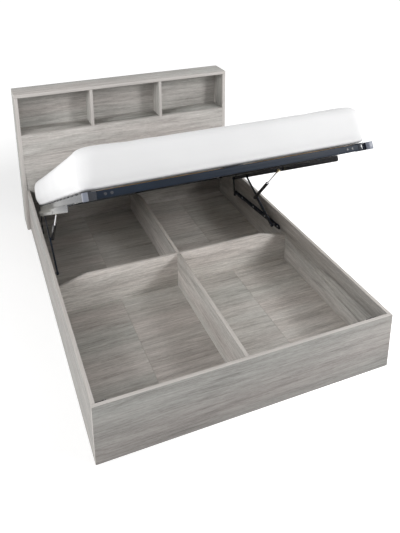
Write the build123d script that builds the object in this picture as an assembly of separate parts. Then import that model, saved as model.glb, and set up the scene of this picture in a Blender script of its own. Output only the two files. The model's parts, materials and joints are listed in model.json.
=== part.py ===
from build123d import *
import math
import os

# Double ottoman bed with a cubby headboard, drawn with its lift frame raised.
# Millimetres. +X is the sleeper's left seen from the foot, +Y runs to the headboard, +Z is up.
# The origin is on the floor, midway between the footboard's face and the headboard's back.

# Overall box of boards
board = 18.0
rail_height = 290.0
headboard_depth = 168.0
headboard_height = 958.0
headboard_board = 22.0
front_panel_top = 683.0
back_panel = 8.0
back_panel_recess = 8.0
cubby_divider_setback = 2.0

# Storage floor and its dividers
floor_panel = 9.0
floor_panel_count = 4
panel_gap = 0.5
batten_height = 6.0
batten_width = 60.0
batten_count = 5
divider_height = 224.0
divider_end_height = 180.0
divider_end_run = 171.0
cross_divider_from_headboard = 974.0
lap_clearance = 0.2
head_cut_from_headboard = 246.0
head_cut_height = 148.0

# Board joinery
dowel_radius = 4.0
dowel_in_face = 11.0
dowel_in_end = 23.0
cam_bolt_radius = 3.5
cam_bolt_in_face = 10.0
cam_bolt_in_end = 34.0
cam_lock_radius = 7.5
cam_lock_depth = 13.5
corner_dowel_height_shares = (0.15, 0.42, 0.8)
corner_bolt_height_shares = (0.28, 0.54)
headboard_dowel_shares = (0.25, 0.75)
front_panel_dowel_shares = (0.3, 0.55, 0.88)

# Lift geometry: the closed frame turns about the pole by the lift angle to stand open
pole_from_headboard = 178.0
pole_height = 367.0
lift_angle = 28.3
front_pivot_from_pole = 706.0
rear_pivot_from_pole = 266.0
strut_pivot_on_link = 224.5

# Platform frame, closed
platform_side_gap = 42.0
platform_foot_gap = 12.0
tube_height = 30.0
side_tube_width = 16.0
cross_tube_width = 30.0
tube_wall = 2.0
tube_underside = 235.0
end_cap_length = 25.0
end_cap_end = 3.0
end_cap_wall = 2.0
cross_tube_setback = 30.0
sleeve_length = 38.0
sleeve_wall = 2.0

# Slats and their holders
slat_count = 14
slat_width = 55.0
slat_thickness = 8.0
slat_bow = 2.0
slat_drop = 6.0
end_slat_inset = 95.0
slat_pocket_clearance = 0.5
slat_end_gap = 2.0
holder_side_wall = 4.0
holder_stop = 2.0
holder_floor = 4.0
holder_roof = 1.7
holder_reach = 26.0

# Mattress
mattress_width = 1350.0
mattress_length = 1870.0
mattress_side_gap = 15.0
mattress_head_gap = 32.0
mattress_edge_height = 168.0
mattress_crown = 8.0
mattress_foot_inset = 8.0
mattress_corner = 42.0
mattress_draw_in = 5.0
mattress_seat_gap = 0.4
mattress_cavity_side = 32.0
mattress_cavity_top = 18.0
edge_round_inset_shares = (0.62, 0.2, 0.0)
edge_round_height_shares = (0.0, 0.32, 1.0)
bottom_round = 28.0
top_round = 46.0
crown_inset_shares = (0.25, 0.6)
crown_height_shares = (0.6, 1.0)

# Lift mechanism
top_bar_thickness = 3.0
top_bar_depth = 30.0
top_bar_overhang = 21.0
top_bar_foot_from_foot = 326.0
top_bar_head_margin = 28.0
top_bar_corner = 10.0
pivot_drop = 21.0
front_pin_from_head = 419.0
rear_pin_from_head = 190.0
strut_stud_from_head = 929.0
link_thickness = 4.0
link_gap = 0.5
front_link_width = 18.0
doubler_width = 22.0
rear_link_width = 20.0
base_bar_thickness = 4.0
base_bar_width = 30.0
base_bar_front_overrun = 44.0
base_bar_rear_overrun = 30.0
pin_radius = 5.0
pin_clearance = 0.05
pin_head_radius = 8.0
pin_head_thickness = 3.0
pin_cap_thickness = 1.0
pin_collar_radius = 7.0
side_gap = 0.3

# Gas strut
cylinder_radius = 10.0
bore_radius = 8.5
cylinder_start = 16.0
cylinder_end = 236.0
cylinder_base = 10.0
gland_length = 14.0
rod_radius = 4.0
rod_clearance = 0.05
piston_radius = 8.4
piston_length = 12.0
rod_overlap = 34.0
eye_radius = 9.0
eye_thickness = 10.0
neck_radius = 4.9
rod_end_shank = 30.0
rod_end_socket = 14.0

# Small hardware
screw_radius = 2.0
screw_length = 13.0
screw_head_radius = 5.0
screw_head_height = 2.5
base_screw_shares = (0.25, 0.55, 0.86)
base_front_screw_overrun = 29.0
bolt_radius = 3.0
bolt_head_radius = 6.0
bolt_head_height = 4.0
foot_bolt_insets = (98.0, 72.0)
foot_bolt_head = 2.0
top_bar_bolt_shares = (0.1, 0.5, 0.9)
stop_bolt_before_bar = 22.0
bracket_thickness = 3.0
bracket_width = 46.0
bracket_leg = 44.0
bracket_arm = 58.0
pad_radius = 10.0
pad_height = 15.0
pad_from_footboard = 50.0
pad_hole_radius = 4.0
pad_stem_radius = 3.9

# Places worked out from the sizes above
inner_x = mattress_width / 2 + mattress_side_gap
inner_width = 2 * inner_x
rail_x = inner_x + board
bed_length = board + platform_foot_gap + mattress_foot_inset + mattress_length + mattress_head_gap
platform_length = mattress_length
half_depth = (bed_length + headboard_depth) / 2
front_y = -half_depth
rail_y0 = front_y + board
headboard_y = front_y + bed_length
rear_y = half_depth
side_x = rail_x + headboard_board
top_board_z = headboard_height - headboard_board
back_panel_y = rear_y - back_panel_recess - back_panel
floor_top = batten_height + floor_panel
cross_y = headboard_y - cross_divider_from_headboard
cubby_divider_x = (2 * rail_x + board) / 6
lap_height = (divider_height + floor_top) / 2

foot_y = rail_y0 + platform_foot_gap
head_y = foot_y + platform_length
platform_x = inner_x - platform_side_gap
tube_in_x = platform_x - side_tube_width
tube_top = tube_underside + tube_height
pole_y = headboard_y - pole_from_headboard
pivot_z = tube_underside - pivot_drop
slat_z = tube_top - slat_drop
holder_top = slat_z + slat_thickness + slat_pocket_clearance + holder_roof
mattress_z = slat_z + slat_thickness + slat_bow + mattress_seat_gap

bar_out_x = platform_x + top_bar_overhang
bar_in_x = bar_out_x - top_bar_thickness
link_out_x = bar_in_x - link_gap
link_in_x = link_out_x - link_thickness
doubler_in_x = link_in_x - link_thickness
strut_x = doubler_in_x - link_gap - cylinder_radius
base_bar_x = inner_x - base_bar_thickness


def turned(point, angle):
    """A point (y, z) turned about the pole; a positive angle closes the platform."""
    dy, dz = point[0] - pole_y, point[1] - pole_height
    c, s = math.cos(math.radians(angle)), math.sin(math.radians(angle))
    return pole_y + c * dy - s * dz, pole_height + s * dy + c * dz


def on_bisector(closed, distance):
    """The fixed pivot that sees a platform pin alike when open and when closed."""
    dy, dz = closed[0] - pole_y, closed[1] - pole_height
    half = math.radians(-lift_angle / 2)
    my = math.cos(half) * dy - math.sin(half) * dz
    mz = math.sin(half) * dy + math.cos(half) * dz
    reach = math.hypot(my, mz)
    return pole_y + distance * my / reach, pole_height + distance * mz / reach


def between(start, end, distance):
    """The point at a distance from start on the way to end."""
    reach = math.dist(start, end)
    share = distance / reach
    return start[0] + share * (end[0] - start[0]), start[1] + share * (end[1] - start[1])


def slope(start, end):
    """Angle of a line in the side view, in degrees above +Y."""
    return math.degrees(math.atan2(end[1] - start[1], end[0] - start[0]))


front_pin_closed = (head_y - front_pin_from_head, pivot_z)
rear_pin_closed = (head_y - rear_pin_from_head, pivot_z)
stud_closed = (head_y - strut_stud_from_head, pivot_z)
front_pin_open = turned(front_pin_closed, -lift_angle)
rear_pin_open = turned(rear_pin_closed, -lift_angle)
stud_open = turned(stud_closed, -lift_angle)
front_pivot = on_bisector(front_pin_closed, front_pivot_from_pole)
rear_pivot = on_bisector(rear_pin_closed, rear_pivot_from_pole)
strut_pivot = between(front_pivot, front_pin_open, strut_pivot_on_link)
strut_pivot_closed = between(front_pivot, front_pin_closed, strut_pivot_on_link)


def block(x0, x1, y0, y1, z0, z1):
    """A board or bar between two opposite corners."""
    middle = Pos((x0 + x1) / 2, (y0 + y1) / 2, (z0 + z1) / 2)
    return middle * Box(abs(x1 - x0), abs(y1 - y0), abs(z1 - z0))


def round_x(x0, x1, at, radius):
    """A round bar along X at the side-view point (y, z)."""
    return Pos((x0 + x1) / 2, at[0], at[1]) * Rot(0, 90, 0) * Cylinder(radius, abs(x1 - x0))


def round_y(x, y0, y1, z, radius):
    """A round bar along Y."""
    return Pos(x, (y0 + y1) / 2, z) * Rot(90, 0, 0) * Cylinder(radius, abs(y1 - y0))


def round_z(x, y, z0, z1, radius):
    """A round bar along Z."""
    return Pos(x, y, (z0 + z1) / 2) * Cylinder(radius, abs(z1 - z0))


def side_plane(x):
    """A drawing plane across the bed: its x is +Y and its y is +Z."""
    return Plane(origin=(x, 0, 0), x_dir=(0, 1, 0), z_dir=(1, 0, 0))


def strap(start, end, width, x0, x1):
    """A flat bar with round ends, from one side-view point to another."""
    middle = Pos((start[0] + end[0]) / 2, (start[1] + end[1]) / 2)
    outline = middle * Rot(0, 0, slope(start, end)) * SlotCenterToCenter(math.dist(start, end), width)
    return extrude(side_plane(x0) * outline, amount=x1 - x0)


def side_cut(points, x0, x1):
    """A solid with a side-view outline of straight lines."""
    return extrude(side_plane(x0) * make_face(Polyline(*points, close=True)), amount=x1 - x0)


def along(start, end, near, far, radius, x):
    """A round bar on the line from start to end, between two distances from start."""
    a, b = between(start, end, near), between(start, end, far)
    middle = Pos(x, (a[0] + b[0]) / 2, (a[1] + b[1]) / 2)
    return middle * Rot(slope(start, end) - 90, 0, 0) * Cylinder(radius, far - near)


def opened(shape):
    """A piece of the platform, drawn closed, turned up to the open place."""
    return shape.rotate(Axis((0, pole_y, pole_height), (1, 0, 0)), -lift_angle)


def left(shape):
    """The mirror image on the bed's other side."""
    return mirror(shape, about=Plane.YZ)


def both(shape):
    """A piece and its mirror image."""
    return [shape, left(shape)]


def write(name, *pieces):
    """One file for one sub-part; several pieces stay separate solids."""
    solids = [solid for piece in pieces for solid in piece.solids()]
    shape = solids[0] if len(solids) == 1 else Compound(children=solids)
    export_step(shape, "parts/" + name + ".step")


def share_of(low, high, share):
    """The place at a share of the way from low to high."""
    return low + share * (high - low)


def corner_joints():
    """Dowels, cam bolts and cam locks of the right-hand rail's two ends."""
    x = inner_x + board / 2
    dowels, bolts, locks = [], [], []
    for y, out in ((rail_y0, -1), (headboard_y, 1)):
        for share in corner_dowel_height_shares:
            z = share * rail_height
            dowels.append(round_y(x, y + out * dowel_in_face, y - out * dowel_in_end, z, dowel_radius))
        for share in corner_bolt_height_shares:
            z = share * rail_height
            tail = y - out * cam_bolt_in_end
            bolt = round_y(x, y + out * cam_bolt_in_face, tail, z, cam_bolt_radius)
            bolts.append(bolt)
            locks.append(round_x(inner_x, inner_x + cam_lock_depth, (tail, z), cam_lock_radius) - bolt)
    return dowels, bolts, locks


def cut(shape, tools):
    """The shape with each tool's space taken out."""
    for tool in tools:
        shape = shape - tool
    return shape


def lock_seats():
    """Bores for the cam locks in the right-hand rail."""
    seats = []
    for y, out in ((rail_y0, -1), (headboard_y, 1)):
        for share in corner_bolt_height_shares:
            at = (y - out * cam_bolt_in_end, share * rail_height)
            seats.append(round_x(inner_x, inner_x + cam_lock_depth, at, cam_lock_radius))
    return seats


def headboard_dowels():
    """Dowels that join the headboard's boards, on the right half."""
    shelf_z = front_panel_top - board / 2
    shelf_y0 = headboard_y + board
    found = []
    for share in headboard_dowel_shares:
        y = share_of(shelf_y0, back_panel_y, share)
        found.append(round_x(rail_x - dowel_in_end, rail_x + dowel_in_face, (y, shelf_z), dowel_radius))
        x = rail_x + headboard_board / 2
        found.append(round_z(x, y, top_board_z - dowel_in_end, top_board_z + dowel_in_face, dowel_radius))
        for z, up in ((front_panel_top, 1), (top_board_z, -1)):
            low, high = z - up * dowel_in_face, z + up * dowel_in_end
            found.append(round_z(cubby_divider_x, y, low, high, dowel_radius))
    for share in front_panel_dowel_shares:
        at = (headboard_y + board / 2, share * front_panel_top)
        found.append(round_x(rail_x - dowel_in_end, rail_x + dowel_in_face, at, dowel_radius))
    return found


def base_screw_places():
    """Side-view places of the screws that hold a base bar to its rail."""
    reach = math.dist(front_pivot, rear_pivot)
    places = [between(front_pivot, rear_pivot, -base_front_screw_overrun)]
    for share in base_screw_shares:
        places.append(between(front_pivot, rear_pivot, share * reach))
    return places


def bracket_screw_places():
    """Side-view places of the screws of a rest bracket."""
    y = rail_y0 + pad_from_footboard
    z = tube_underside - pad_height - bracket_leg / 2
    return [(y - bracket_width / 4, z), (y + bracket_width / 4, z)]


def screw(at, x):
    """A screw in the right-hand rail whose head sits on the face at x."""
    shank = round_x(x, inner_x + screw_length, at, screw_radius)
    return shank + round_x(x - screw_head_height, x, at, screw_head_radius)


def rail_screws():
    """Every screw in the right-hand rail's inner face."""
    found = [screw(at, base_bar_x) for at in base_screw_places()]
    found += [screw(at, inner_x - bracket_thickness) for at in bracket_screw_places()]
    return found


def build_headboard(corner_dowels, corner_bolts):
    """The box of boards behind the mattress, with three cubbies at the top."""
    dowels = headboard_dowels()
    mirrored = [left(d) for d in dowels]
    side = cut(block(rail_x, side_x, headboard_y, rear_y, 0, top_board_z), dowels)
    write("headboard_side_right", side)
    write("headboard_side_left", left(side))
    top = block(-side_x, side_x, headboard_y, rear_y, top_board_z, headboard_height)
    write("headboard_top", cut(top, dowels + mirrored))
    shelf = block(-rail_x, rail_x, headboard_y + board, back_panel_y, front_panel_top - board, front_panel_top)
    write("headboard_shelf", cut(shelf, dowels + mirrored))
    front = block(-rail_x, rail_x, headboard_y, headboard_y + board, 0, front_panel_top)
    held = corner_dowels + corner_bolts
    write("headboard_front_panel", cut(front, dowels + mirrored + held + [left(h) for h in held]))
    write("headboard_back_panel", block(-rail_x, rail_x, back_panel_y, back_panel_y + back_panel, 0, top_board_z))
    x0, x1 = cubby_divider_x - board / 2, cubby_divider_x + board / 2
    y0 = headboard_y + cubby_divider_setback
    divider = cut(block(x0, x1, y0, back_panel_y, front_panel_top, top_board_z), dowels)
    write("cubby_divider_right", divider)
    write("cubby_divider_left", left(divider))
    write("headboard_dowels", *dowels, *mirrored)


def build_rails(dowels, bolts, locks):
    """Side rails and footboard with their hidden corner joints."""
    rail = block(inner_x, rail_x, rail_y0, headboard_y, 0, rail_height)
    rail = cut(rail, dowels + bolts + lock_seats())
    rail = cut(rail, rail_screws())
    write("side_rail_right", rail)
    write("side_rail_left", left(rail))
    footboard = block(-rail_x, rail_x, front_y, rail_y0, 0, rail_height)
    held = dowels + bolts
    write("footboard", cut(footboard, held + [left(h) for h in held]))
    write("corner_dowels", *dowels, *[left(d) for d in dowels])
    write("cam_bolts", *bolts, *[left(b) for b in bolts])
    write("cam_locks", *locks, *[left(k) for k in locks])


def build_storage():
    """Floor panels on battens, and the two dividers lapped at the middle."""
    width = inner_width / floor_panel_count
    for number in range(floor_panel_count):
        x0 = -inner_x + number * width
        panel = block(x0 + panel_gap / 2, x0 + width - panel_gap / 2, rail_y0, headboard_y, batten_height, floor_top)
        write("floor_panel_" + str(number + 1), panel)
    battens = []
    for number in range(batten_count):
        y = share_of(rail_y0 + batten_width / 2, headboard_y - batten_width / 2, number / (batten_count - 1))
        battens.append(block(-inner_x, inner_x, y - batten_width / 2, y + batten_width / 2, 0, batten_height))
    write("floor_battens", *battens)

    half = board / 2
    slot = half + lap_clearance
    long_outline = [
        (rail_y0, floor_top),
        (headboard_y, floor_top),
        (headboard_y, head_cut_height),
        (headboard_y - head_cut_from_headboard, divider_height),
        (rail_y0, divider_height),
    ]
    lengthwise = side_cut(long_outline, -half, half)
    lap = block(-slot, slot, cross_y - slot, cross_y + slot, lap_height, divider_height + board)
    write("lengthwise_divider", lengthwise - lap)

    cross = block(-inner_x, inner_x, cross_y - half, cross_y + half, floor_top, divider_height)
    corner = Polyline(
        (inner_x - divider_end_run, divider_height),
        (inner_x, divider_end_height),
        (inner_x, divider_height),
        close=True,
    )
    front_plane = Plane(origin=(0, cross_y + slot, 0), x_dir=(1, 0, 0), z_dir=(0, -1, 0))
    chamfer = extrude(front_plane * make_face(corner), amount=2 * slot)
    lower_lap = block(-slot, slot, cross_y - slot, cross_y + slot, floor_top, lap_height)
    write("crosswise_divider", cross - chamfer - left(chamfer) - lower_lap)


def build_rests():
    """Corner brackets with rubber pads that the closed platform lies on."""
    y = rail_y0 + pad_from_footboard
    pad_z = tube_underside - side_gap - pad_height
    leg = block(inner_x - bracket_thickness, inner_x, y - bracket_width / 2, y + bracket_width / 2, pad_z - bracket_leg, pad_z)
    arm_x = inner_x - bracket_arm
    arm = block(arm_x, inner_x, y - bracket_width / 2, y + bracket_width / 2, pad_z - bracket_thickness, pad_z)
    pad_x = platform_x
    stem = round_z(pad_x, y, pad_z - bracket_thickness, pad_z, pad_stem_radius)
    bracket = leg + arm - round_z(pad_x, y, pad_z - bracket_thickness, pad_z, pad_hole_radius)
    write("rest_brackets", *both(cut(bracket, rail_screws())))
    write("rest_pads", *both(round_z(pad_x, y, pad_z, pad_z + pad_height, pad_radius) + stem))


def build_base_bars():
    """The inclined bars on the rails with the two fixed pivots of each side."""
    reach = math.dist(front_pivot, rear_pivot)
    start = between(front_pivot, rear_pivot, -base_bar_front_overrun)
    end = between(front_pivot, rear_pivot, reach + base_bar_rear_overrun)
    bar = strap(start, end, base_bar_width, base_bar_x, inner_x)
    pins = []
    for pivot, inner_face in ((front_pivot, doubler_in_x), (rear_pivot, link_in_x)):
        bar = bar - round_x(base_bar_x, inner_x, pivot, pin_radius)
        pin = round_x(inner_face - side_gap - pin_head_thickness, inner_x, pivot, pin_radius)
        pin = pin + round_x(link_out_x + side_gap, base_bar_x, pivot, pin_collar_radius)
        head_x = inner_face - side_gap
        pins.append(pin + round_x(head_x - pin_head_thickness, head_x, pivot, pin_head_radius))
    bar = cut(bar, rail_screws())
    write("base_bar_right", bar)
    write("base_bar_left", left(bar))
    write("base_pivot_pins", *[piece for pin in pins for piece in both(pin)])
    write("rail_screws", *[piece for one in rail_screws() for piece in both(one)])


def build_links():
    """Front links with their strut studs, and rear links."""
    hole = pin_radius + pin_clearance
    front = strap(front_pivot, front_pin_open, front_link_width, link_in_x, link_out_x)
    front = front + strap(front_pivot, strut_pivot, doubler_width, doubler_in_x, link_in_x)
    front = front + strap(front_pivot, strut_pivot, doubler_width, link_in_x, link_out_x)
    front = front - round_x(doubler_in_x, link_out_x, front_pivot, hole)
    front = front - round_x(doubler_in_x, link_out_x, strut_pivot, pin_radius)
    front = front - round_x(link_in_x, link_out_x, front_pin_open, hole)
    write("front_link_right", front)
    write("front_link_left", left(front))

    eye_in, eye_out = strut_x - eye_thickness / 2, strut_x + eye_thickness / 2
    head_x = eye_in - side_gap
    stud = round_x(head_x - pin_head_thickness, link_out_x, strut_pivot, pin_radius)
    stud = stud + round_x(head_x - pin_head_thickness, head_x, strut_pivot, pin_collar_radius)
    stud = stud + round_x(eye_out + side_gap, doubler_in_x, strut_pivot, pin_collar_radius)
    write("strut_stud_right", stud)
    write("strut_stud_left", left(stud))

    rear = strap(rear_pivot, rear_pin_open, rear_link_width, link_in_x, link_out_x)
    rear = rear - round_x(link_in_x, link_out_x, rear_pivot, hole)
    head = round_x(link_in_x - pin_head_thickness, link_in_x, rear_pin_open, pin_head_radius)
    write("rear_link_right", rear + head)
    write("rear_link_left", left(rear + head))


def build_struts():
    """Gas struts from the front links to the platform, drawn extended."""
    reach = math.dist(strut_pivot, stud_open)
    line = (strut_pivot, stud_open)
    tube = along(*line, cylinder_start, cylinder_end, cylinder_radius, strut_x)
    tube = tube - along(*line, cylinder_start + cylinder_base, cylinder_end - gland_length, bore_radius, strut_x)
    tube = tube - along(*line, cylinder_end - gland_length, cylinder_end, rod_radius + rod_clearance, strut_x)
    eye_in, eye_out = strut_x - eye_thickness / 2, strut_x + eye_thickness / 2
    eye = round_x(eye_in, eye_out, strut_pivot, eye_radius)
    eye = eye + along(*line, 0, cylinder_start, neck_radius, strut_x)
    eye = eye - round_x(strut_x - eye_radius, strut_x + eye_radius, strut_pivot, pin_radius + pin_clearance)
    tail = cylinder_end - rod_overlap
    shank = reach - rod_end_shank
    rod = along(*line, tail, shank + rod_end_socket, rod_radius, strut_x)
    rod = rod + along(*line, tail, tail + piston_length, piston_radius, strut_x)
    fitting = along(*line, shank, reach - eye_radius / 2, neck_radius, strut_x)
    fitting = fitting + round_x(eye_in, eye_out, stud_open, eye_radius)
    fitting = fitting - along(*line, shank, shank + rod_end_socket, rod_radius, strut_x)
    for name, piece in (("strut_cylinder", tube), ("strut_eye", eye), ("strut_rod", rod), ("rod_end", fitting)):
        write(name + "_right", piece)
        write(name + "_left", left(piece))


def hollow(x0, x1, y0, y1, z0, z1, axis):
    """A rectangular tube, open at both ends along X or Y."""
    w = tube_wall
    if axis == "X":
        return block(x0, x1, y0, y1, z0, z1) - block(x0, x1, y0 + w, y1 - w, z0 + w, z1 - w)
    return block(x0, x1, y0, y1, z0, z1) - block(x0 + w, x1 - w, y0, y1, z0 + w, z1 - w)


def end_cap(y, out):
    """A plastic cap pushed over a side tube's end."""
    w = end_cap_wall
    x0, x1 = tube_in_x, platform_x
    z0, z1 = tube_underside, tube_top
    outer = block(x0 - w, x1 + w, y, y - out * end_cap_length, z0 - w, z1 + w)
    return outer - block(x0, x1, y - out * end_cap_end, y - out * end_cap_length, z0, z1)


def sleeve(y0, y1):
    """A steel sleeve round the end of a cross tube, against the side tube."""
    x0, x1 = tube_in_x - sleeve_length, tube_in_x
    w = sleeve_wall
    outer = block(x0, x1, y0 - w, y1 + w, tube_underside - w, tube_top + w)
    return outer - block(x0, x1, y0, y1, tube_underside, tube_top)


def under_bolt(x, y, z):
    """A bolt up through a side tube's lower wall, its head under the face at z."""
    tip = tube_underside + tube_wall + bolt_head_height
    return round_z(x, y, z - bolt_head_height, z, bolt_head_radius) + round_z(x, y, z, tip, bolt_radius)


def top_bar_ends():
    """Y of the top bar's foot end and head end."""
    return foot_y + top_bar_foot_from_foot, rear_pin_closed[0] + top_bar_head_margin


def top_bar_bolts():
    """The bolts under the right-hand side tube: three through the top bar, one before it."""
    y0, y1 = top_bar_ends()
    x = platform_x - side_tube_width / 2
    flange_z = tube_underside - top_bar_thickness
    bolts = [under_bolt(x, share_of(y0, y1, share), flange_z) for share in top_bar_bolt_shares]
    bolts.append(under_bolt(x, y0 - stop_bolt_before_bar, tube_underside))
    return bolts


def cross_tube_places():
    """Y of both faces of the foot rail and of the head rail."""
    foot0 = foot_y + cross_tube_setback
    head1 = head_y - cross_tube_setback
    return (foot0, foot0 + cross_tube_width), (head1 - cross_tube_width, head1)


def build_frame():
    """The welded and bolted tube frame round the slats."""
    x0, x1 = tube_in_x, platform_x
    y0, y1 = foot_y + end_cap_end, head_y - end_cap_end
    side = cut(hollow(x0, x1, y0, y1, tube_underside, tube_top, "Y"), top_bar_bolts())
    write("platform_rail_right", opened(side))
    write("platform_rail_left", opened(left(side)))
    (foot0, foot1), (head0, head1) = cross_tube_places()
    half = cross_tube_width / 2
    foot = hollow(-x0, x0, foot0, foot1, tube_underside, tube_top, "X")
    head = hollow(-x0, x0, head0, head1, tube_underside, tube_top, "X")
    centre = hollow(-half, half, foot1, head0, tube_underside, tube_top, "Y")
    bolts = []
    for inset in foot_bolt_insets:
        bolts.append(foot_bolt(x0 - inset, foot0, tube_underside + tube_height / 2))
    foot = cut(foot, [piece for bolt in bolts for piece in both(bolt)])
    write("platform_foot_rail", opened(foot))
    write("platform_head_rail", opened(head))
    write("platform_centre_rail", opened(centre))
    write("foot_rail_bolts", *[opened(piece) for bolt in bolts for piece in both(bolt)])
    caps = [end_cap(foot_y, -1), end_cap(head_y, 1)]
    write("tube_end_caps", *[opened(piece) for cap in caps for piece in both(cap)])
    sleeves = [sleeve(foot0, foot1), sleeve(head0, head1)]
    write("corner_sleeves", *[opened(piece) for one in sleeves for piece in both(one)])


def foot_bolt(x, y, z):
    """A bolt through the front wall of the foot rail, head outwards."""
    shank = round_y(x, y, y + tube_wall + bolt_head_height, z, bolt_radius)
    return shank + round_y(x, y - foot_bolt_head, y, z, bolt_head_radius)


def slat_places():
    """Y of the middle of each slat, foot to head."""
    first, last = foot_y + end_slat_inset, head_y - end_slat_inset
    return [share_of(first, last, number / (slat_count - 1)) for number in range(slat_count)]


def slat(x0, x1, y):
    """A sprung slat, bowed up between its ends."""
    z0 = slat_z
    z1 = z0 + slat_thickness
    middle = (x0 + x1) / 2
    under = ThreePointArc((x0, z0), (middle, z0 + slat_bow), (x1, z0))
    over = ThreePointArc((x1, z1), (middle, z1 + slat_bow), (x0, z1))
    outline = Wire([under, Line((x1, z0), (x1, z1)), over, Line((x0, z1), (x0, z0))])
    plane = Plane(origin=(0, y + slat_width / 2, 0), x_dir=(1, 0, 0), z_dir=(0, -1, 0))
    return extrude(plane * make_face(outline), amount=slat_width)


def holder(x0, x1, stop_x, y, saddle_x0, saddle_x1):
    """A plastic slat holder: a pocket beside a tube and a saddle over it."""
    half = slat_width / 2 + holder_side_wall
    body = block(x0, x1, y - half, y + half, slat_z - holder_floor, holder_top)
    body = body + block(saddle_x0, saddle_x1, y - half, y + half, tube_top, holder_top)
    spare = slat_pocket_clearance
    room = slat_width / 2 + spare
    return body - block(x0, stop_x, y - room, y + room, slat_z - spare / 2, slat_z + slat_thickness + spare)


def build_slats():
    """Two rows of sprung slats in plastic holders clipped over the tubes."""
    half = cross_tube_width / 2
    side_stop = tube_in_x - holder_stop
    centre_stop = half + holder_stop
    right_row, side_holders, centre_holders = [], [], []
    for y in slat_places():
        right_row.append(slat(centre_stop + slat_end_gap, side_stop - slat_end_gap, y))
        side_holders.append(holder(tube_in_x - holder_reach, tube_in_x, side_stop, y, tube_in_x, platform_x))
        inner = holder(half + holder_reach, half, centre_stop, y, 0, half)
        centre_holders.append(inner + left(inner))
    write("slats_right", *[opened(one) for one in right_row])
    write("slats_left", *[opened(left(one)) for one in right_row])
    write("slat_holders_right", *[opened(one) for one in side_holders])
    write("slat_holders_left", *[opened(left(one)) for one in side_holders])
    write("slat_holders_centre", *[opened(one) for one in centre_holders])


def build_top_bars():
    """Angle bars under the side tubes with the pins of the links and struts."""
    y0, y1 = top_bar_ends()
    low = tube_underside - top_bar_depth
    leg = side_cut(
        [
            (y0, tube_underside),
            (y0, low + top_bar_corner),
            (y0 + top_bar_corner, low),
            (y1 - top_bar_corner, low),
            (y1, low + top_bar_corner),
            (y1, tube_underside),
        ],
        bar_in_x,
        bar_out_x,
    )
    flange_z = tube_underside - top_bar_thickness
    flange = block(tube_in_x, bar_in_x, y0, y1, flange_z, tube_underside)
    pins = []
    for at in (front_pin_closed, rear_pin_closed, stud_closed):
        leg = leg - round_x(bar_in_x, bar_out_x, at, pin_radius)
    cap_x = bar_out_x + pin_cap_thickness
    front = round_x(link_in_x - side_gap - pin_head_thickness, cap_x, front_pin_closed, pin_radius)
    head_x = link_in_x - side_gap
    front = front + round_x(head_x - pin_head_thickness, head_x, front_pin_closed, pin_head_radius)
    front = front + round_x(bar_out_x, cap_x, front_pin_closed, pin_head_radius)
    rear = round_x(bar_in_x, cap_x, rear_pin_closed, pin_radius)
    rear = rear + round_x(bar_out_x, cap_x, rear_pin_closed, pin_head_radius)
    stud = round_x(strut_x + eye_thickness / 2 + side_gap, cap_x, stud_closed, pin_radius)
    stud = stud + round_x(bar_out_x, cap_x, stud_closed, pin_head_radius)
    bolts = top_bar_bolts()
    bar = cut(leg + flange, bolts)
    write("top_bar_right", opened(bar))
    write("top_bar_left", opened(left(bar)))
    for pin in (front, rear, stud):
        pins += both(pin)
    write("platform_pins", *[opened(pin) for pin in pins])
    write("top_bar_bolts", *[opened(piece) for bolt in bolts for piece in both(bolt)])


def mattress_outline(inset, z):
    """The mattress in plan at one height: drawn-in sides and round corners."""
    a = mattress_width / 2 - inset
    b = mattress_length / 2 - inset
    r = mattress_corner * a / (mattress_width / 2)
    d = mattress_draw_in
    k = r * (1 - math.sqrt(0.5))
    points = [
        (a, -(b - r)),
        (a - d, 0),
        (a, b - r),
        (a - k, b - k),
        (a - r, b),
        (0, b - d),
        (-(a - r), b),
        (-(a - k), b - k),
        (-a, b - r),
        (-(a - d), 0),
        (-a, -(b - r)),
        (-(a - k), -(b - k)),
        (-(a - r), -b),
        (0, -(b - d)),
        (a - r, -b),
        (a - k, -(b - k)),
    ]
    points.append(points[0])
    edges = [ThreePointArc(*points[at : at + 3]) for at in range(0, len(points) - 1, 2)]
    middle_y = foot_y + mattress_foot_inset + mattress_length / 2
    return Pos(0, middle_y, z) * Face(Wire(edges))


def build_mattress():
    """A sprung mattress: crowned top, drawn-in sides and a hollow for the spring core."""
    top = mattress_z + mattress_edge_height
    sections = []
    for inset, rise in zip(edge_round_inset_shares, edge_round_height_shares):
        sections.append(mattress_outline(inset * bottom_round, mattress_z + rise * bottom_round))
    for inset, rise in zip(reversed(edge_round_inset_shares), reversed(edge_round_height_shares)):
        sections.append(mattress_outline(inset * top_round, top - rise * top_round))
    for inset, rise in zip(crown_inset_shares, crown_height_shares):
        sections.append(mattress_outline(inset * mattress_width / 2, top + rise * mattress_crown))
    body = loft(sections, ruled=True)
    x = mattress_width / 2 - mattress_cavity_side
    y0 = foot_y + mattress_foot_inset + mattress_cavity_side
    y1 = y0 + mattress_length - 2 * mattress_cavity_side
    z0, z1 = mattress_z + mattress_cavity_top, top - mattress_cavity_top
    write("mattress", opened(body - block(-x, x, y0, y1, z0, z1)))


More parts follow.
